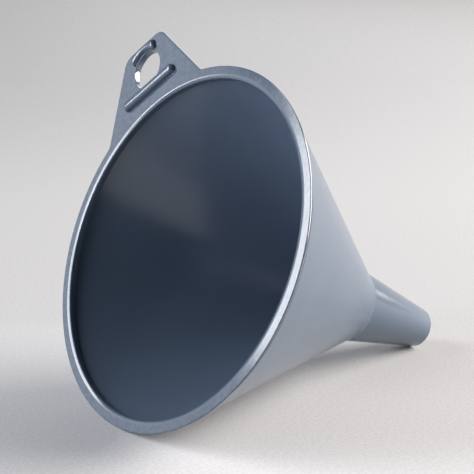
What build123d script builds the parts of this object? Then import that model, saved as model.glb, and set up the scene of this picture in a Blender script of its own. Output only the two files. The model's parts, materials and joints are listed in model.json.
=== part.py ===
from build123d import *
import os
from math import atan2, cos, degrees, radians, sin, tan

os.makedirs("parts", exist_ok=True)

# A pouring funnel moulded in one piece, lying on its side. It rests on the lowest
# edge of its rim and on the lowest edge of its stem, so z = 0 is the table.
# Each feature of the moulding is a solid of its own, and they meet face to face.
# Distances along the funnel's axis run from the mouth face towards the stem.

# ---- driving dimensions, in millimetres and degrees ----
rim_radius = 60.0
funnel_length = 119.0

plate_thickness = 2.4         # the rim's flange and the tab share one flat plate
plate_edge_thickness = 0.6    # what the bevel leaves at the plate's outer edge
plate_bevel_width = 2.3
plate_split_radius = 62.2     # the flange ends and the tab starts here

cone_half_angle = 30.0
cone_base_radius = 59.8       # outer surface, carried on to the mouth face
cone_wall_thickness = 1.8

stem_tip_radius = 7.2
stem_half_angle = 9.0
stem_wall_thickness = 1.5
neck_overlap = 3.5            # how far the neck runs past each junction
neck_round = 5.0

bead_outer_radius = 57.5
bead_crest_radius = 57.0
bead_inner_radius = 55.9
bead_flank_depth = 1.5
bead_groove_depth = 0.25

tab_angle = 41.9              # from the rim's top, round the axis
tab_reach = 84.0              # axis to the tab's straight outer edge
tab_edge_half_width = 9.7
tab_side_slope = 27.0
tab_corner_round = 5.0
tab_foot_round = 3.0

hang_hole_radius = 6.9
hang_hole_distance = 72.9     # axis to the hole's centre

inner_rib_distance = 64.15
inner_rib_length = 27.0
inner_rib_width = 3.7
inner_rib_height = 2.0
inner_rib_round = 1.75

outer_rib_far_distance = 82.6
outer_rib_near_distance = 78.3
outer_rib_length = 12.4
outer_rib_height = 1.6
outer_rib_hole_margin = 0.4
outer_rib_far_round = 1.6
outer_rib_near_round = 0.8
outer_rib_round = 0.75

# ---- cone and stem as straight lines in a half section ----
cone_slope = tan(radians(cone_half_angle))
stem_slope = tan(radians(stem_half_angle))
cone_wall_across = cone_wall_thickness / cos(radians(cone_half_angle))
stem_wall_across = stem_wall_thickness / cos(radians(stem_half_angle))
stem_base_radius = stem_tip_radius + funnel_length * stem_slope


def cone_outer(depth):
    return cone_base_radius - depth * cone_slope


def cone_inner(depth):
    return cone_outer(depth) - cone_wall_across


def stem_outer(depth):
    return stem_base_radius - depth * stem_slope


def stem_inner(depth):
    return stem_outer(depth) - stem_wall_across


slope_difference = cone_slope - stem_slope
outer_junction = (cone_base_radius - stem_base_radius) / slope_difference
inner_junction = outer_junction - (cone_wall_across - stem_wall_across) / slope_difference
neck_start = inner_junction - neck_overlap
neck_end = outer_junction + neck_overlap

# ---- the lying pose ----
contact_drop = rim_radius - stem_tip_radius
contact_run = funnel_length - plate_edge_thickness
lie_angle = atan2(contact_drop, contact_run)
axis_direction = Vector(cos(lie_angle), 0, -sin(lie_angle))
rim_up = Vector(sin(lie_angle), 0, cos(lie_angle))
tab_turn = radians(tab_angle)
tab_direction = rim_up * cos(tab_turn) + Vector(0, sin(tab_turn), 0)

# The tab's rounded corner nearest +Y sets how far the part reaches that way.
corner_inset = tab_corner_round * tan(radians(90 - tab_side_slope) / 2)
corner_distance = tab_reach - tab_corner_round
corner_offset = tab_edge_half_width - corner_inset
far_side = corner_distance * sin(tab_turn) + corner_offset * cos(tab_turn) + tab_corner_round

front_reach = rim_radius * sin(lie_angle)
stem_reach = funnel_length * cos(lie_angle) + stem_tip_radius * sin(lie_angle)
mouth_centre = Vector(
    (front_reach - stem_reach) / 2,
    (rim_radius - far_side) / 2,
    rim_radius * cos(lie_angle) + plate_edge_thickness * sin(lie_angle),
)
funnel_axis = Axis(mouth_centre, axis_direction)

# Local x points along the tab and local z along the funnel's axis.
mouth_plane = Plane(origin=mouth_centre, x_dir=tab_direction, z_dir=axis_direction)
# Half section: local x is the radius, local y is the depth behind the mouth face.
section_plane = Plane(
    origin=mouth_centre,
    x_dir=tab_direction,
    z_dir=tab_direction.cross(axis_direction),
)

# ---- plate: the one flat outline that the flange and the tab are both cut from ----
root_distance = bead_inner_radius / 2
root_half_width = tab_edge_half_width + (tab_reach - root_distance) * tan(
    radians(tab_side_slope)
)

with BuildPart() as plate:
    with BuildSketch(mouth_plane) as plate_outline:
        with BuildLine():
            Polyline(
                (tab_reach, -tab_edge_half_width),
                (tab_reach, tab_edge_half_width),
                (root_distance, root_half_width),
                (root_distance, -root_half_width),
                close=True,
            )
        make_face()
        Circle(rim_radius)
        outline = plate_outline.vertices().sort_by(Axis.X)
        corners, feet = outline[-2:], outline[-4:-2]
        fillet(corners, radius=tab_corner_round)
        fillet(feet, radius=tab_foot_round)
    extrude(amount=plate_thickness)
    back_face = plate.faces().sort_by(funnel_axis)[-1]
    chamfer(
        back_face.edges(),
        length=plate_bevel_width,
        length2=plate_thickness - plate_edge_thickness,
        reference=back_face,
    )

# ---- rim flange: the flat ring round the mouth, with the tab's two feet ----
with BuildPart() as rim_flange:
    with BuildSketch(mouth_plane):
        Circle(plate_split_radius)
        Circle(bead_outer_radius, mode=Mode.SUBTRACT)
    extrude(amount=plate_thickness)
    add(plate.part, mode=Mode.INTERSECT)
    with BuildSketch(section_plane):
        with BuildLine():
            Polyline(
                (bead_outer_radius, 0),
                (cone_outer(0), 0),
                (cone_outer(plate_thickness), plate_thickness),
                (bead_outer_radius, plate_thickness),
                close=True,
            )
        make_face()
    revolve(axis=funnel_axis)
rim_flange.part.label = "rim_flange"
export_step(rim_flange.part, "parts/rim_flange.step")

# ---- rim bead: the rounded lip that turns into the mouth ----
with BuildPart() as rim_bead:
    with BuildSketch(section_plane):
        with BuildLine():
            crest = (bead_crest_radius, 0)
            flank_foot = (bead_inner_radius, bead_flank_depth)
            Line((bead_outer_radius, plate_thickness), (bead_outer_radius, bead_groove_depth))
            Line((bead_outer_radius, bead_groove_depth), crest)
            TangentArc(crest, flank_foot, tangent=(-1, 0))
            Line(flank_foot, (bead_inner_radius, plate_thickness))
            Line((bead_inner_radius, plate_thickness), (bead_outer_radius, plate_thickness))
        make_face()
    revolve(axis=funnel_axis)
rim_bead.part.label = "rim_bead"
export_step(rim_bead.part, "parts/rim_bead.step")

# ---- cone wall ----
with BuildPart() as cone_wall:
    with BuildSketch(section_plane):
        with BuildLine():
            Polyline(
                (cone_inner(plate_thickness), plate_thickness),
                (cone_outer(plate_thickness), plate_thickness),
                (cone_outer(neck_start), neck_start),
                (cone_inner(neck_start), neck_start),
                close=True,
            )
        make_face()
    revolve(axis=funnel_axis)
cone_wall.part.label = "cone_wall"
export_step(cone_wall.part, "parts/cone_wall.step")

# ---- neck: where the cone turns into the stem, rounded inside and out ----
with BuildPart() as neck:
    with BuildSketch(section_plane) as neck_section:
        with BuildLine():
            Polyline(
                (cone_outer(neck_start), neck_start),
                (cone_outer(outer_junction), outer_junction),
                (stem_outer(neck_end), neck_end),
                (stem_inner(neck_end), neck_end),
                (cone_inner(inner_junction), inner_junction),
                (cone_inner(neck_start), neck_start),
                close=True,
            )
        make_face()
        bends = neck_section.vertices().sort_by(Axis.Y)[2:4]
        fillet(bends, radius=neck_round)
    revolve(axis=funnel_axis)
neck.part.label = "neck"
export_step(neck.part, "parts/neck.step")

# ---- stem: a tapered tube, open at its square-cut tip ----
with BuildPart() as stem:
    with BuildSketch(section_plane):
        with BuildLine():
            Polyline(
                (stem_inner(neck_end), neck_end),
                (stem_outer(neck_end), neck_end),
                (stem_tip_radius, funnel_length),
                (stem_inner(funnel_length), funnel_length),
                close=True,
            )
        make_face()
    revolve(axis=funnel_axis)
stem.part.label = "stem"
export_step(stem.part, "parts/stem.step")

# ---- hang tab: the rest of the plate, with the hole that it hangs by ----
with BuildPart() as hang_tab:
    add(plate.part)
    with BuildSketch(mouth_plane):
        Circle(plate_split_radius)
        with Locations((hang_hole_distance, 0)):
            Circle(hang_hole_radius)
    extrude(amount=plate_thickness, mode=Mode.SUBTRACT)
hang_tab.part.label = "hang_tab"
export_step(hang_tab.part, "parts/hang_tab.step")

# ---- inner rib: a straight half-round bar between the rim and the hole ----
with BuildPart() as tab_rib_inner:
    with BuildSketch(mouth_plane):
        with Locations((inner_rib_distance, 0)):
            SlotOverall(inner_rib_length, inner_rib_width, rotation=90)
    extrude(amount=-inner_rib_height)
    inner_crown = tab_rib_inner.faces().sort_by(funnel_axis)[0]
    fillet(inner_crown.edges(), radius=inner_rib_round)
tab_rib_inner.part.label = "tab_rib_inner"
export_step(tab_rib_inner.part, "parts/tab_rib_inner.step")

# ---- outer rib: a shorter bar beyond the hole, hollowed to follow the hole's edge ----
with BuildPart() as tab_rib_outer:
    with BuildSketch(mouth_plane) as outer_rib_outline:
        with BuildLine():
            Polyline(
                (outer_rib_near_distance, -outer_rib_length / 2),
                (outer_rib_far_distance, -outer_rib_length / 2),
                (outer_rib_far_distance, outer_rib_length / 2),
                (outer_rib_near_distance, outer_rib_length / 2),
                close=True,
            )
        make_face()
        with Locations((hang_hole_distance, 0)):
            Circle(hang_hole_radius + outer_rib_hole_margin, mode=Mode.SUBTRACT)
        rib_corners = outer_rib_outline.vertices().sort_by(Axis.X)
        far_corners, near_corners = rib_corners[-2:], rib_corners[:-2]
        fillet(far_corners, radius=outer_rib_far_round)
        fillet(near_corners, radius=outer_rib_near_round)
    extrude(amount=-outer_rib_height)
    outer_crown = tab_rib_outer.faces().sort_by(funnel_axis)[0]
    fillet(outer_crown.edges(), radius=outer_rib_round)
tab_rib_outer.part.label = "tab_rib_outer"
export_step(tab_rib_outer.part, "parts/tab_rib_outer.step")
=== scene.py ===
import json
from math import atan2, ceil, copysign, cos, pi, radians, sin, sqrt, tan

import bmesh
import bpy
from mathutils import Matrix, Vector
from mathutils.geometry import delaunay_2d_cdt


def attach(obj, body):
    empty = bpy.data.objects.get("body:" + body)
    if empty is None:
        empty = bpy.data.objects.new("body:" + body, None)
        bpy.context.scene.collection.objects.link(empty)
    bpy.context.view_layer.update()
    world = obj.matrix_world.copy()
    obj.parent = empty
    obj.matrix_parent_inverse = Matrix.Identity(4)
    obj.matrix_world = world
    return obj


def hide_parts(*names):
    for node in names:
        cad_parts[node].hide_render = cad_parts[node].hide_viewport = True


# A moulded pouring funnel lying on its side. Metres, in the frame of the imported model.

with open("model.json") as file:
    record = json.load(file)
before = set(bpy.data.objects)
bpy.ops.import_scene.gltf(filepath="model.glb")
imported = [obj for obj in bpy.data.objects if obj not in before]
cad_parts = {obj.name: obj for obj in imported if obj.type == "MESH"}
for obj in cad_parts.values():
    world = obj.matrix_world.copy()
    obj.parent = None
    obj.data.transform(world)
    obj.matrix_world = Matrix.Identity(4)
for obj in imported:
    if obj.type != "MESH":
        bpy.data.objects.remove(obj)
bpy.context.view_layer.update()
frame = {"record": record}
MM = 0.001

# ---- the funnel's own axes, from the mounts that the record states ----
mounts = {m["name"]: m for m in frame["record"]["mounts"]}
AXIS = Vector(mounts["stem_plug"]["axis"]).normalized()
TIP = Vector(mounts["stem_plug"]["pos_m"])
RIM_POINT = Vector(mounts["rim_face"]["pos_m"])
HOLE = Vector(mounts["hang_hole"]["pos_m"])
LENGTH = (TIP - RIM_POINT).dot(AXIS)
MOUTH = TIP - AXIS * LENGTH
to_hole = HOLE - MOUTH
to_hole -= AXIS * to_hole.dot(AXIS)
HOLE_DISTANCE = to_hole.length
ALONG_TAB = to_hole.normalized()
ACROSS_TAB = AXIS.cross(ALONG_TAB)

# ---- sizes of the moulding ----
RIM_RADIUS = 60.0 * MM
PLATE_DEPTH = mounts["hang_hole"]["dims"]["length_mm"] * MM
EDGE_DEPTH = 0.6 * MM        # what the bevel leaves of the plate at its outer edge
FRONT_ROUND = 0.25 * MM      # how far each edge of the plate is rounded
BACK_ROUND = 0.12 * MM
SUPPORT = 0.1 * MM           # flat rim kept beside a rounded edge, so that it shades cleanly

CONE_BASE = 59.8 * MM
CONE_SLOPE = tan(radians(30.0))
CONE_ACROSS = 1.8 * MM / cos(radians(30.0))
TIP_RADIUS = 7.2 * MM
TIP_OUTSIDE_ROUND = 0.6 * MM
TIP_INSIDE_ROUND = 0.4 * MM
STEM_SLOPE = tan(radians(9.0))
STEM_ACROSS = 1.5 * MM / cos(radians(9.0))
STEM_BASE = TIP_RADIUS + LENGTH * STEM_SLOPE
NECK_OVERLAP = 3.5 * MM      # how far the neck reaches past the junctions
NECK_ROUND = 5.0 * MM

BEAD_OUTER = 57.5 * MM
BEAD_CREST_RADIUS = 3.2 * MM
BEAD_CREST_TURN = radians(20.0)  # how far the crest tilts inward before it rolls over
BEAD_ROLL_RADIUS = 0.7 * MM
BEAD_FLANK = 0.2 * MM        # how far the flank goes on below the roll
BEAD_UNDER_ROUND = 0.3 * MM
BEAD_FOOT = 0.3 * MM         # how far the bead reaches behind the plate
BEAD_OVERLAP = 0.1 * MM      # how far its inner edge tucks into the cone's wall
GROOVE_WIDTH = 0.12 * MM     # the fine line between the flange and the lip
GROOVE_DEPTH = 0.15 * MM

TAB_REACH = 84.0 * MM
TAB_EDGE_HALF = 9.7 * MM
TAB_SLOPE = radians(27.0)    # how far each side leans in from the tab's direction
TAB_CORNER = 5.0 * MM
TAB_FOOT = 3.0 * MM
TAB_START = 62.2 * MM        # the radius where the plate is divided
TAB_BEVEL = 2.3 * MM
HOLE_RADIUS = mounts["hang_hole"]["dims"]["r_mm"] * MM
HOLE_EDGE_ROUND = 0.2 * MM

INNER_RIB = 64.15 * MM
INNER_RIB_LENGTH = 27.0 * MM
INNER_RIB_HALF = 1.85 * MM
INNER_RIB_HEIGHT = 2.0 * MM
OUTER_RIB_FAR = 82.6 * MM
OUTER_RIB_NEAR = 78.3 * MM
OUTER_RIB_LENGTH = 12.4 * MM
OUTER_RIB_HEIGHT = 1.6 * MM
OUTER_RIB_MARGIN = 0.4 * MM
OUTER_RIB_FAR_ROUND = 1.6 * MM
OUTER_RIB_NEAR_ROUND = 0.8 * MM
OUTER_RIB_END = 1.3 * MM     # over how much of each end the bar's height falls away
RIB_CROWN = 0.72             # 1 is a half-round crown, less is a flatter one
RIB_FLARE = 0.2 * MM         # the small fillet at the rib's foot
RIB_SINK = 0.05 * MM         # how far the foot goes below the tab's face

# ---- how finely curves are divided, and how close two points may lie ----
TURNS = 360                  # steps round the axis, one a degree
HOLE_STEPS = 96
ROUND_STEPS = 8
PLATE_EDGE_STEPS = 5
HOLE_EDGE_STEPS = 4
CONE_STEPS = 24
CREST_STEPS = 8
ROLL_STEPS = 10
CORNER_STEPS = 10
EDGE_STEPS = 4
DIVIDE_STEPS = 60
RIB_END_STEPS = 12
RIB_MIDDLE_STEPS = 20
RIB_CROWN_STEPS = 16
SHARP_EDGE = radians(32.0)   # edges sharper than this stay crisp
TINY = 1e-7                  # metres

# ---- depths where the cone's walls would meet the stem's, and the neck round them ----
SLOPE_GAP = CONE_SLOPE - STEM_SLOPE
OUTER_JUNCTION = (CONE_BASE - STEM_BASE) / SLOPE_GAP
INNER_JUNCTION = OUTER_JUNCTION - (CONE_ACROSS - STEM_ACROSS) / SLOPE_GAP
NECK_START = INNER_JUNCTION - NECK_OVERLAP
NECK_END = OUTER_JUNCTION + NECK_OVERLAP


def cone_outer(depth):
    return CONE_BASE - depth * CONE_SLOPE


def cone_inner(depth):
    return cone_outer(depth) - CONE_ACROSS


def stem_outer(depth):
    return STEM_BASE - depth * STEM_SLOPE


def stem_inner(depth):
    return stem_outer(depth) - STEM_ACROSS


# ---- placing and outline helpers ----
def on_tab(x, y, depth):
    """A point of the tab's plane: x along the tab, y across it, depth behind the mouth face."""
    return MOUTH + ALONG_TAB * x + ACROSS_TAB * y + AXIS * depth


def round_about(radius, angle, depth):
    """A point at an angle round the axis, counted from the tab."""
    return on_tab(radius * cos(angle), radius * sin(angle), depth)


def arc(centre, radius, start, end, steps):
    """Points on an arc, both ends among them."""
    angles = [start + (end - start) * i / steps for i in range(steps + 1)]
    return [(centre[0] + radius * cos(t), centre[1] + radius * sin(t)) for t in angles]


def rounded(corners):
    """A closed outline of (x, y, radius) corners, with each corner rounded by its radius."""
    points = []
    count = len(corners)
    for i, (x, y, radius) in enumerate(corners):
        here = Vector((x, y))
        before = (Vector(corners[i - 1][:2]) - here).normalized()
        after = (Vector(corners[(i + 1) % count][:2]) - here).normalized()
        if radius <= 0:
            points.append((x, y))
            continue
        half = before.angle(after) / 2
        centre = here + (before + after).normalized() * radius / sin(half)
        first = here + before * radius / tan(half) - centre
        last = here + after * radius / tan(half) - centre
        start = atan2(first.y, first.x)
        sweep = first.angle_signed(last)
        points += arc(centre, radius, start, start - sweep, ROUND_STEPS)
    return points


def new_object(name, bm, material):
    """A piece from a bmesh: outward normals, and smooth but for its sharp edges."""
    bmesh.ops.remove_doubles(bm, verts=bm.verts, dist=TINY)
    bmesh.ops.recalc_face_normals(bm, faces=bm.faces)
    for face in bm.faces:
        face.smooth = True
    for edge in bm.edges:
        edge.smooth = edge.is_manifold and edge.calc_face_angle(pi) < SHARP_EDGE
    mesh = bpy.data.meshes.new(name)
    bm.to_mesh(mesh)
    bm.free()
    mesh.materials.append(material)
    piece = bpy.data.objects.new(name, mesh)
    bpy.context.scene.collection.objects.link(piece)
    return piece


def keep_piece(piece, *nodes):
    """Puts a piece on the one rigid body, in place of its CAD node."""
    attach(piece, "root")
    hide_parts(*nodes)
    return piece


def revolved(name, section, material):
    """A ring whose closed section is given as (radius, depth) points."""
    bm = bmesh.new()
    rings = []
    for turn in range(TURNS):
        angle = 2 * pi * turn / TURNS
        rings.append([bm.verts.new(round_about(r, angle, d)) for r, d in section])
    count = len(section)
    for turn in range(TURNS):
        one, two = rings[turn], rings[(turn + 1) % TURNS]
        for i in range(count):
            j = (i + 1) % count
            bm.faces.new((one[i], one[j], two[j], two[i]))
    return new_object(name, bm, material)


# ---- materials ----
SLATE_DARK = (0.077, 0.108, 0.153, 1)
SLATE_LIGHT = (0.083, 0.116, 0.163, 1)
GRAIN_HEIGHT = 0.05 * MM
WAVE_HEIGHT = 0.2 * MM


def two_tone(nodes, dark, light):
    """A ramp between two colours over the middle of a noise texture's range."""
    ramp = nodes.new("ShaderNodeValToRGB")
    for tone, position, colour in zip(ramp.color_ramp.elements, (0.35, 0.65), (dark, light)):
        tone.position = position
        tone.color = colour
    return ramp


def plastic(name, roughness, grain, grain_scale, gloss=0.5, spread=0.015, mottle=0.0):
    """Slate-blue moulded plastic: mottled colour, cloudy gloss and a fine relief.

    roughness varies by spread, grain is the relief's strength, and mottle the colour's.
    """
    material = bpy.data.materials.new(name)
    material.use_nodes = True
    nodes, links = material.node_tree.nodes, material.node_tree.links
    shader = nodes["Principled BSDF"]
    place = nodes.new("ShaderNodeTexCoord")

    def noise(scale, detail):
        node = nodes.new("ShaderNodeTexNoise")
        node.inputs["Scale"].default_value = scale
        node.inputs["Detail"].default_value = detail
        links.new(place.outputs["Object"], node.inputs["Vector"])
        return node.outputs["Fac"]

    def remap(value, low, high, to_low, to_high):
        node = nodes.new("ShaderNodeMapRange")
        node.inputs["From Min"].default_value = low
        node.inputs["From Max"].default_value = high
        node.inputs["To Min"].default_value = to_low
        node.inputs["To Max"].default_value = to_high
        links.new(value, node.inputs["Value"])
        return node.outputs["Result"]

    def bump(height, strength, distance):
        node = nodes.new("ShaderNodeBump")
        node.inputs["Strength"].default_value = strength
        node.inputs["Distance"].default_value = distance
        links.new(height, node.inputs["Height"])
        return node

    # Colour: slow drift of the pigment under a finer mottling.
    pigment = two_tone(nodes, SLATE_DARK, SLATE_LIGHT)
    links.new(noise(45.0, 6.0), pigment.inputs["Fac"])
    mottled = nodes.new("ShaderNodeVectorMath")
    mottled.operation = "SCALE"
    links.new(pigment.outputs["Color"], mottled.inputs[0])
    strength = remap(noise(650.0, 4.0), 0.35, 0.65, 1 - mottle, 1 + mottle)
    links.new(strength, mottled.inputs["Scale"])
    links.new(mottled.outputs["Vector"], shader.inputs["Base Color"])

    # Gloss: cloudy patches over the mould's finish.
    cloud = remap(noise(400.0, 5.0), 0.3, 0.7, roughness - spread, roughness + spread)
    links.new(cloud, shader.inputs["Roughness"])
    shader.inputs["Specular IOR Level"].default_value = gloss
    shader.inputs["IOR"].default_value = 1.55

    # Relief: the mould's fine grain over a slow waviness of the wall.
    fine = bump(noise(grain_scale, 3.0), grain, GRAIN_HEIGHT)
    wavy = bump(noise(60.0, 1.0), 0.1, WAVE_HEIGHT)
    links.new(wavy.outputs["Normal"], fine.inputs["Normal"])
    links.new(fine.outputs["Normal"], shader.inputs["Normal"])
    return material


GRAINED = plastic(
    "grained_plastic", 0.085, grain=0.22, grain_scale=1800.0, gloss=0.62, spread=0.03, mottle=0.16
)
SMOOTH = plastic("smooth_plastic", 0.2, grain=0.12, grain_scale=1500.0)
POLISHED = plastic("polished_plastic", 0.11, grain=0.08, grain_scale=1500.0, gloss=0.65)


# ---- cone, neck, stem and bead: turned round the axis ----
def make_cone():
    span = NECK_START - PLATE_DEPTH
    depths = [PLATE_DEPTH + span * i / CONE_STEPS for i in range(CONE_STEPS + 1)]
    outside = [(cone_outer(d), d) for d in depths]
    inside = [(cone_inner(d), d) for d in reversed(depths)]
    keep_piece(revolved("cone_wall", outside + inside, SMOOTH), "cone_wall")


def make_neck():
    section = rounded(
        [
            (cone_outer(NECK_START), NECK_START, 0),
            (cone_outer(OUTER_JUNCTION), OUTER_JUNCTION, NECK_ROUND),
            (stem_outer(NECK_END), NECK_END, 0),
            (stem_inner(NECK_END), NECK_END, 0),
            (cone_inner(INNER_JUNCTION), INNER_JUNCTION, NECK_ROUND),
            (cone_inner(NECK_START), NECK_START, 0),
        ]
    )
    keep_piece(revolved("neck", section, SMOOTH), "neck")


def make_stem():
    section = rounded(
        [
            (stem_inner(NECK_END), NECK_END, 0),
            (stem_outer(NECK_END), NECK_END, 0),
            (TIP_RADIUS, LENGTH, TIP_OUTSIDE_ROUND),
            (stem_inner(LENGTH), LENGTH, TIP_INSIDE_ROUND),
        ]
    )
    keep_piece(revolved("stem", section, SMOOTH), "stem")


def make_bead():
    """The lip: a shallow crest that rolls over into a flank and turns under into the cone."""
    foot = PLATE_DEPTH + BEAD_FOOT
    shoulder = Vector((BEAD_OUTER - GROOVE_WIDTH, BEAD_CREST_RADIUS))
    crest_turns = [BEAD_CREST_TURN * i / CREST_STEPS for i in range(CREST_STEPS + 1)]
    crest = [shoulder - Vector((sin(t), cos(t))) * BEAD_CREST_RADIUS for t in crest_turns]

    last_turn = Vector((sin(BEAD_CREST_TURN), cos(BEAD_CREST_TURN)))
    centre = crest[-1] + last_turn * BEAD_ROLL_RADIUS
    left = pi / 2 - BEAD_CREST_TURN
    roll_turns = [BEAD_CREST_TURN + left * i / ROLL_STEPS for i in range(1, ROLL_STEPS + 1)]
    roll = [centre - Vector((sin(t), cos(t))) * BEAD_ROLL_RADIUS for t in roll_turns]

    flank = roll[-1].x
    under = rounded(
        [
            (flank, roll[-1].y + BEAD_FLANK, 0),
            (flank, PLATE_DEPTH - BEAD_OVERLAP, BEAD_UNDER_ROUND),
            (cone_inner(foot) + BEAD_OVERLAP, foot, 0),
            (BEAD_OUTER - BEAD_FOOT, foot, 0),
            (BEAD_OUTER, PLATE_DEPTH, 0),
            (BEAD_OUTER, GROOVE_DEPTH, 0),
        ]
    )
    section = [tuple(p) for p in crest + roll] + under
    keep_piece(revolved("rim_bead", section, POLISHED), "rim_bead")


# ---- flange and hang tab: one flat outline, divided across the tab's root ----
SIDE_NORMAL = Vector((sin(TAB_SLOPE), cos(TAB_SLOPE)))
SIDE_RUN = Vector((-cos(TAB_SLOPE), sin(TAB_SLOPE)))
SIDE_OFFSET = Vector((TAB_REACH, TAB_EDGE_HALF)).dot(SIDE_NORMAL)


def foot_centre():
    """The centre of the fillet between the rim and the tab's side at +y."""
    along = SIDE_OFFSET + TAB_FOOT
    reach = RIM_RADIUS + TAB_FOOT
    return SIDE_NORMAL * along - SIDE_RUN * sqrt(reach * reach - along * along)


def outline():
    """The outer edge, counter-clockwise, as (point, outward normal) pairs."""
    foot = foot_centre()
    foot_angle = atan2(foot.y, foot.x)
    side_angle = pi / 2 - TAB_SLOPE
    corner_x = TAB_REACH - TAB_CORNER
    corner_y = (SIDE_OFFSET - TAB_CORNER - corner_x * SIDE_NORMAL.x) / SIDE_NORMAL.y
    half = []

    # The tab's straight end, from its middle to the corner.
    for i in range(EDGE_STEPS):
        half.append((Vector((TAB_REACH, corner_y * i / EDGE_STEPS)), Vector((1, 0))))

    # The rounded corner and the straight side, with a point where the plate is divided.
    for i in range(CORNER_STEPS + 1):
        turn = side_angle * i / CORNER_STEPS
        normal = Vector((cos(turn), sin(turn)))
        half.append((Vector((corner_x, corner_y)) + normal * TAB_CORNER, normal))
    corner_end = half[-1][0]
    split = SIDE_OFFSET * SIDE_NORMAL - SIDE_RUN * sqrt(TAB_START**2 - SIDE_OFFSET**2)
    for share in (0.33, 0.67, 1):
        half.append((corner_end.lerp(split, share), SIDE_NORMAL.copy()))

    # The hollow fillet at the tab's foot, then round the rim to the far side of the mouth.
    inward = foot_angle + pi
    from_side = side_angle - pi
    while inward - from_side > pi:
        inward -= 2 * pi
    for i in range(CORNER_STEPS + 1):
        turn = from_side + (inward - from_side) * i / CORNER_STEPS
        toward = Vector((cos(turn), sin(turn)))
        half.append((foot + toward * TAB_FOOT, -toward))
    first_degree = ceil(foot_angle * TURNS / (2 * pi) + 0.2)
    for turn in range(first_degree, TURNS // 2 + 1):
        angle = 2 * pi * turn / TURNS
        normal = Vector((cos(angle), sin(angle)))
        half.append((normal * RIM_RADIUS, normal))

    mirrored = [(Vector((p.x, -p.y)), Vector((n.x, -n.y))) for p, n in reversed(half[1:-1])]
    return half + mirrored


def quarter_round(size, steps):
    """From a flat face over a rounded edge to the wall, as (inset, depth from the face) pairs."""
    turns = [pi / 2 * i / steps for i in range(steps + 1)]
    return [(size * (1 - sin(t)), size * (1 - cos(t))) for t in turns]


def from_back(profile):
    """The same profile measured from the back face, in the order that carries on round."""
    return [(inset, PLATE_DEPTH - depth) for inset, depth in reversed(profile)]


# The bevel's run for each step of depth, and the depth where it meets the cone's own slope.
BEVEL_RUN = TAB_BEVEL / (PLATE_DEPTH - EDGE_DEPTH)
BEVEL_MEET = (BEVEL_RUN * EDGE_DEPTH + CONE_BASE - RIM_RADIUS) / (BEVEL_RUN - CONE_SLOPE)


def back_inset(point):
    """How far the back's edge lies in: along the cone at the rim, the full bevel on the tab."""
    at_rim = RIM_RADIUS - cone_outer(PLATE_DEPTH)
    share = (point.length - RIM_RADIUS) / (TAB_START - RIM_RADIUS)
    return at_rim + (TAB_BEVEL - at_rim) * min(max(share, 0), 1)


def outer_profile(point):
    """Front face, rounded edge, short wall, bevel and back face."""
    far = back_inset(point)
    front = [(FRONT_ROUND + SUPPORT, 0)] + quarter_round(FRONT_ROUND, PLATE_EDGE_STEPS)
    wall = [(0, EDGE_DEPTH - BACK_ROUND), (BACK_ROUND, EDGE_DEPTH + BACK_ROUND / 2)]
    meet = [(BEVEL_RUN * (BEVEL_MEET - EDGE_DEPTH), BEVEL_MEET)]
    back = [
        (far - BACK_ROUND / 2, PLATE_DEPTH - BACK_ROUND),
        (far + BACK_ROUND / 2, PLATE_DEPTH),
        (far + BACK_ROUND + SUPPORT, PLATE_DEPTH),
    ]
    return front + wall + meet + back


def hole_profile(_):
    """The same all round: both faces roll into the hole's wall."""
    rounding = quarter_round(HOLE_EDGE_ROUND, HOLE_EDGE_STEPS)
    flat = HOLE_EDGE_ROUND + SUPPORT
    return [(flat, 0)] + rounding + from_back(rounding) + [(flat, PLATE_DEPTH)]


def groove_profile(_):
    """The same all round: the fine groove between the flange and the lip."""
    half = [(-GROOVE_WIDTH, 0), (0, GROOVE_DEPTH)]
    return half + from_back(half)


def circle_loop(centre_x, radius, steps, outward):
    """A circle about a point of the tab's middle line, as (point, normal) pairs."""
    loop = []
    for i in range(steps):
        turn = 2 * pi * i / steps
        normal = Vector((cos(turn), sin(turn)))
        loop.append((Vector((centre_x, 0)) + normal * radius, normal * outward))
    return loop


def ring_edges(start, count):
    """The edges of a closed ring of points, as pairs of indices."""
    return [(start + i, start + (i + 1) % count) for i in range(count)]


class Plate:
    """One closed piece of the flat plate, front face at depth 0 and back face behind it."""

    def __init__(self):
        self.bm = bmesh.new()
        self.placed = {}

    def vert(self, point, depth):
        """The vertex at this place, made once and shared by the faces that meet there."""
        key = tuple(round(value / TINY) for value in (point[0], point[1], depth))
        if key not in self.placed:
            self.placed[key] = self.bm.verts.new(on_tab(point[0], point[1], depth))
        return self.placed[key]

    def face(self, *corners):
        self.bm.faces.new([self.vert(point, depth) for point, depth in corners])

    def strip(self, loop, profile_at, closed=False):
        """Quads between the columns of neighbouring outline points."""
        columns = [
            [(point - normal * inset, depth) for inset, depth in profile_at(point)]
            for point, normal in loop
        ]
        following = columns[1:] + columns[:1] if closed else columns[1:]
        for one, two in zip(columns, following):
            for i in range(len(one) - 1):
                self.face(one[i], one[i + 1], two[i + 1], two[i])

    def end_wall(self, end, profile_at):
        """The section of the edge where the plate is divided."""
        point, normal = end
        self.face(*[(point - normal * inset, depth) for inset, depth in profile_at(point)])

    def flat_face(self, triangles, depth):
        """A flat face from its triangles."""
        for corners in triangles:
            self.face(*[(corner, depth) for corner in corners])

    def cross_wall(self, front, back):
        """The wall from front to back where the plate is divided."""
        pairs = list(zip(front, back))
        for (a, b), (c, d) in zip(pairs, pairs[1:]):
            self.face((a, 0), (c, 0), (d, PLATE_DEPTH), (b, PLATE_DEPTH))


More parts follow.
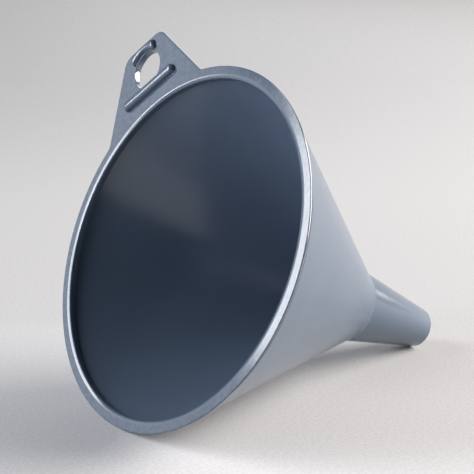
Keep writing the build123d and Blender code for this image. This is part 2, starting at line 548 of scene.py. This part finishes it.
def flat_side(loop, upper, lower, inner_loop, hole_loop, end):
    """Triangles of the front (end 0) or back (end -1) face: the ring's, the tab's, the divide."""
    def inset(points, profile_at):
        return [point - normal * profile_at(point)[end][0] for point, normal in points]

    outer = inset(loop, outer_profile)
    inner = inset(inner_loop, groove_profile)
    hole = inset(hole_loop, hole_profile)
    split_radius = outer[upper].length
    angle = atan2(outer[upper].y, outer[upper].x)
    divide = [Vector(p) for p in arc((0, 0), split_radius, angle, -angle, DIVIDE_STEPS)]

    points = outer + inner + hole + divide[1:-1]
    edges = ring_edges(0, len(outer))
    edges += ring_edges(len(outer), len(inner))
    edges += ring_edges(len(outer) + len(inner), len(hole))
    first = len(outer) + len(inner) + len(hole)
    chain = [upper] + list(range(first, len(points))) + [lower]
    edges += list(zip(chain, chain[1:]))
    inside_only = 1
    verts, _, faces, *_ = delaunay_2d_cdt(points, edges, [], inside_only, TINY / 100)

    ring, tab = [], []
    hole_centre = Vector((HOLE_DISTANCE, 0))
    hole_edge = (hole[0] - hole_centre).length + TINY
    for face in faces:
        corners = [verts[i] for i in face]
        middle = sum(corners, Vector((0, 0))) / len(corners)
        across_hole = all((corner - hole_centre).length < hole_edge for corner in corners)
        if middle.length < BEAD_OUTER or across_hole:
            continue
        (tab if middle.length > split_radius and middle.x > 0 else ring).append(corners)
    return ring, tab, divide


def make_plates():
    loop = outline()
    upper, lower = [i for i, (p, n) in enumerate(loop) if abs(p.length - TAB_START) < TINY]
    inner_loop = circle_loop(0, BEAD_OUTER, TURNS, -1)
    hole_loop = circle_loop(HOLE_DISTANCE, HOLE_RADIUS, HOLE_STEPS, -1)
    sides = [flat_side(loop, upper, lower, inner_loop, hole_loop, end) for end in (0, -1)]
    (front_ring, front_tab, front_divide), (back_ring, back_tab, back_divide) = sides

    flange, tab = Plate(), Plate()
    flange.flat_face(front_ring, 0)
    flange.flat_face(back_ring, PLATE_DEPTH)
    flange.strip(loop[upper : lower + 1], outer_profile)
    flange.strip(inner_loop, groove_profile, closed=True)
    tab.flat_face(front_tab, 0)
    tab.flat_face(back_tab, PLATE_DEPTH)
    tab.strip(loop[lower:] + loop[: upper + 1], outer_profile)
    tab.strip(hole_loop, hole_profile, closed=True)
    for name, piece in (("rim_flange", flange), ("hang_tab", tab)):
        piece.cross_wall(front_divide, back_divide)
        piece.end_wall(loop[upper], outer_profile)
        piece.end_wall(loop[lower], outer_profile)
        keep_piece(new_object(name, piece.bm, GRAINED), name)


# ---- ribs: bars with rounded crowns that run across the tab ----
def end_round(distance, reach, size):
    """1 along a bar, falling to 0 over the last stretch like a quarter circle."""
    past = min(max((abs(distance) - (reach - size)) / size, 0), 1)
    return sqrt(1 - past * past)


def flattened(value):
    """Moves a sine or cosine outwards, so that a half-round crown becomes a flatter one."""
    return copysign(abs(value) ** RIB_CROWN, value)


def make_rib(name, length, end, section_at):
    """section_at gives the near side, the far side and the height at a distance across."""
    reach = length / 2
    closing = [pi / 2 * i / RIB_END_STEPS for i in range(1, RIB_END_STEPS + 1)]
    stations = [-reach + end * (1 - cos(turn)) for turn in closing]
    inner_end = stations[-1]
    stations += [inner_end * (1 - i / RIB_MIDDLE_STEPS) for i in range(1, RIB_MIDDLE_STEPS)]
    stations += [0.0] + [-y for y in reversed(stations)]

    bm = bmesh.new()
    rows = []
    for y in stations:
        near, far, height = section_at(y)
        centre, half = (near + far) / 2, (far - near) / 2
        row = [(far + RIB_FLARE, -RIB_SINK), (far + RIB_FLARE, 0), (far + RIB_FLARE / 4, RIB_SINK)]
        foot = [(2 * centre - x, h) for x, h in reversed(row)]
        for i in range(1, RIB_CROWN_STEPS):
            turn = pi * i / RIB_CROWN_STEPS
            across, up = flattened(cos(turn)), flattened(sin(turn))
            row.append((centre + half * across, RIB_SINK + (height - RIB_SINK) * up))
        rows.append([bm.verts.new(on_tab(x, y, -h)) for x, h in row + foot])
    for one, two in zip(rows, rows[1:]):
        for i in range(len(one)):
            bm.faces.new((one[i - 1], one[i], two[i], two[i - 1]))
    bm.faces.new(rows[0])
    bm.faces.new(list(reversed(rows[-1])))
    keep_piece(new_object(name, bm, POLISHED), name)


def inner_section(y):
    """Straight, and rounded at both ends."""
    share = end_round(y, INNER_RIB_LENGTH / 2, INNER_RIB_HALF)
    half = INNER_RIB_HALF * share
    return INNER_RIB - half, INNER_RIB + half, INNER_RIB_HEIGHT * share


def outer_section(y):
    """Straight towards the tab's edge, hollowed to follow the hole, rounded at both ends."""
    reach = OUTER_RIB_LENGTH / 2
    hollow = HOLE_RADIUS + OUTER_RIB_MARGIN
    inside = max(hollow * hollow - y * y, 0)
    near = max(HOLE_DISTANCE + sqrt(inside), OUTER_RIB_NEAR)
    near += OUTER_RIB_NEAR_ROUND * (1 - end_round(y, reach, OUTER_RIB_NEAR_ROUND))
    far = OUTER_RIB_FAR - OUTER_RIB_FAR_ROUND * (1 - end_round(y, reach, OUTER_RIB_FAR_ROUND))
    return near, far, OUTER_RIB_HEIGHT * end_round(y, reach, OUTER_RIB_END)


make_cone()
make_neck()
make_stem()
make_bead()
make_plates()
make_rib("tab_rib_inner", INNER_RIB_LENGTH, INNER_RIB_HALF, inner_section)
make_rib("tab_rib_outer", OUTER_RIB_LENGTH, OUTER_RIB_FAR_ROUND, outer_section)


# ---- stage, light and camera ----
VIEW_AZIMUTH = radians(-36.71)
VIEW_ELEVATION = radians(13.95)
AIM = Vector((-12.59, 7.03, 51.38)) * MM
DISTANCE = 428.28 * MM
LENS = 96.68                 # millimetres, on a sensor 36 mm wide
SENSOR = 36.0

AWAY = Vector((-sin(VIEW_AZIMUTH), cos(VIEW_AZIMUTH), 0))
RIGHT = Vector((AWAY.y, -AWAY.x, 0))
VIEW_BACK = Vector((0, 0, sin(VIEW_ELEVATION))) - AWAY * cos(VIEW_ELEVATION)


def around(azimuth, elevation, distance):
    """A place seen from the funnel: azimuth from straight away from the camera, to the right."""
    a, e = radians(azimuth), radians(elevation)
    level = AWAY * cos(a) * cos(e) + RIGHT * sin(a) * cos(e)
    return AIM + (level + Vector((0, 0, sin(e)))) * distance


def panel(name, azimuth, elevation, distance, width, height, power, colour):
    """A softbox that faces the funnel: degrees, metres and watts."""
    light = bpy.data.lights.new(name, "AREA")
    light.shape = "RECTANGLE"
    light.size, light.size_y = width, height
    light.energy = power
    light.color = colour
    lamp = bpy.data.objects.new(name, light)
    lamp.location = around(azimuth, elevation, distance)
    lamp.rotation_euler = (AIM - lamp.location).to_track_quat("-Z", "Y").to_euler()
    bpy.context.scene.collection.objects.link(lamp)


# Painted shade on the table: how light its colour is at a distance behind the funnel, in metres,
# darker further away in place of the light falling off.
TABLE_PAINTED_SHADE = ((-0.12, 0.60), (-0.02, 0.59), (0.07, 0.44), (0.3, 0.43), (0.7, 0.36), (1.5, 0.32))
TABLE_DARK = (0.85, 0.867, 0.885, 1)
TABLE_LIGHT = (0.965, 0.982, 1.0, 1)
TABLE_NEAR = -1.5
TABLE_HALF_WIDTH = 2.5
BEND_START = 0.5
BEND_RADIUS = 1.1
BEND_STEPS = 16
BACKDROP_HEIGHT = 1.8


def table_material():
    """Pale and matt, with a fine grain, and with painted shade that makes it darker the further it
    is from the camera.
    """
    material = bpy.data.materials.new("pale_table")
    material.use_nodes = True
    nodes, links = material.node_tree.nodes, material.node_tree.links
    shader = nodes["Principled BSDF"]
    shader.inputs["Roughness"].default_value = 0.75
    place = nodes.new("ShaderNodeTexCoord")
    grain = nodes.new("ShaderNodeTexNoise")
    grain.inputs["Scale"].default_value = 900.0
    grain.inputs["Detail"].default_value = 2.0
    links.new(place.outputs["Object"], grain.inputs["Vector"])
    tint = two_tone(nodes, TABLE_DARK, TABLE_LIGHT)
    links.new(grain.outputs["Fac"], tint.inputs["Fac"])

    reach = nodes.new("ShaderNodeVectorMath")
    reach.operation = "DOT_PRODUCT"
    reach.inputs[1].default_value = AWAY
    links.new(place.outputs["Object"], reach.inputs[0])
    nearest, furthest = TABLE_PAINTED_SHADE[0][0], TABLE_PAINTED_SHADE[-1][0]
    span = nodes.new("ShaderNodeMapRange")
    span.inputs["From Min"].default_value = nearest
    span.inputs["From Max"].default_value = furthest
    links.new(reach.outputs["Value"], span.inputs["Value"])
    # Painted shade: this ramp darkens the table's colour with its distance from the camera.
    painted_falloff = nodes.new("ShaderNodeValToRGB")
    shade_stops = painted_falloff.color_ramp.elements
    while len(shade_stops) < len(TABLE_PAINTED_SHADE):
        shade_stops.new(0.5)
    for tone, (distance, value) in zip(shade_stops, TABLE_PAINTED_SHADE):
        tone.position = (distance - nearest) / (furthest - nearest)
        tone.color = (value, value, value, 1)
    links.new(span.outputs["Result"], painted_falloff.inputs["Fac"])

    shade = nodes.new("ShaderNodeVectorMath")
    shade.operation = "SCALE"
    links.new(tint.outputs["Color"], shade.inputs[0])
    links.new(painted_falloff.outputs["Color"], shade.inputs["Scale"])
    links.new(shade.outputs["Vector"], shader.inputs["Base Color"])
    return material


def make_stage():
    """A pale table that curves up into its own backdrop."""
    section = [(TABLE_NEAR, 0.0)]
    for i in range(BEND_STEPS + 1):
        turn = pi / 2 * i / BEND_STEPS
        section.append((BEND_START + BEND_RADIUS * sin(turn), BEND_RADIUS * (1 - cos(turn))))
    section.append((BEND_START + BEND_RADIUS, BACKDROP_HEIGHT))
    bm = bmesh.new()
    rows = []
    for side in (-TABLE_HALF_WIDTH, TABLE_HALF_WIDTH):
        rows.append([bm.verts.new(AWAY * d + RIGHT * side + Vector((0, 0, h))) for d, h in section])
    for i in range(len(section) - 1):
        bm.faces.new((rows[0][i], rows[1][i], rows[1][i + 1], rows[0][i + 1]))
    for face in bm.faces:
        face.smooth = True
    mesh = bpy.data.meshes.new("table")
    bm.to_mesh(mesh)
    bm.free()
    mesh.materials.append(table_material())
    table = bpy.data.objects.new("table", mesh)
    bpy.context.scene.collection.objects.link(table)


def make_world():
    """Almost no fill on the funnel, and a plain pale surround where the camera sees past it."""
    world = bpy.data.worlds.new("studio")
    bpy.context.scene.world = world
    world.use_nodes = True
    nodes, links = world.node_tree.nodes, world.node_tree.links
    fill = nodes["Background"]
    fill.inputs["Color"].default_value = (0.9, 0.95, 1.0, 1)
    fill.inputs["Strength"].default_value = 0.015
    surround = nodes.new("ShaderNodeBackground")
    surround.inputs["Color"].default_value = (0.62, 0.62, 0.63, 1)
    seen = nodes.new("ShaderNodeLightPath")
    mix = nodes.new("ShaderNodeMixShader")
    links.new(seen.outputs["Is Camera Ray"], mix.inputs["Fac"])
    links.new(fill.outputs["Background"], mix.inputs[1])
    links.new(surround.outputs["Background"], mix.inputs[2])
    links.new(mix.outputs["Shader"], nodes["World Output"].inputs["Surface"])


def make_camera():
    """The photographed view."""
    camera = bpy.data.cameras.new("camera")
    camera.lens = LENS
    camera.sensor_width = SENSOR
    holder = bpy.data.objects.new("camera", camera)
    holder.location = AIM + VIEW_BACK * DISTANCE
    holder.rotation_euler = VIEW_BACK.to_track_quat("Z", "Y").to_euler()
    bpy.context.scene.collection.objects.link(holder)
    bpy.context.scene.camera = holder


make_stage()
make_world()
make_camera()
# Name, azimuth, elevation, distance, width, height, power and colour.
panel("left_softbox", -90.5, 31, 1.5, 0.86, 1.05, 23.0, (0.97, 0.98, 1.0))
panel("left_glow", -72, 12, 1.6, 0.66, 0.66, 1.6, (0.95, 0.97, 1.0))
panel("left_fill", -108, 15, 1.5, 0.45, 0.6, 8.5, (0.85, 0.82, 1.0))
panel("right_softbox", 80, 24, 1.5, 1.35, 0.9, 67.0, (1.0, 0.93, 0.885))
panel("back_softbox", 14, 20, 0.9, 0.8, 0.38, 1.4, (0.97, 0.98, 1.0))
bpy.context.scene.view_settings.view_transform = "Standard"
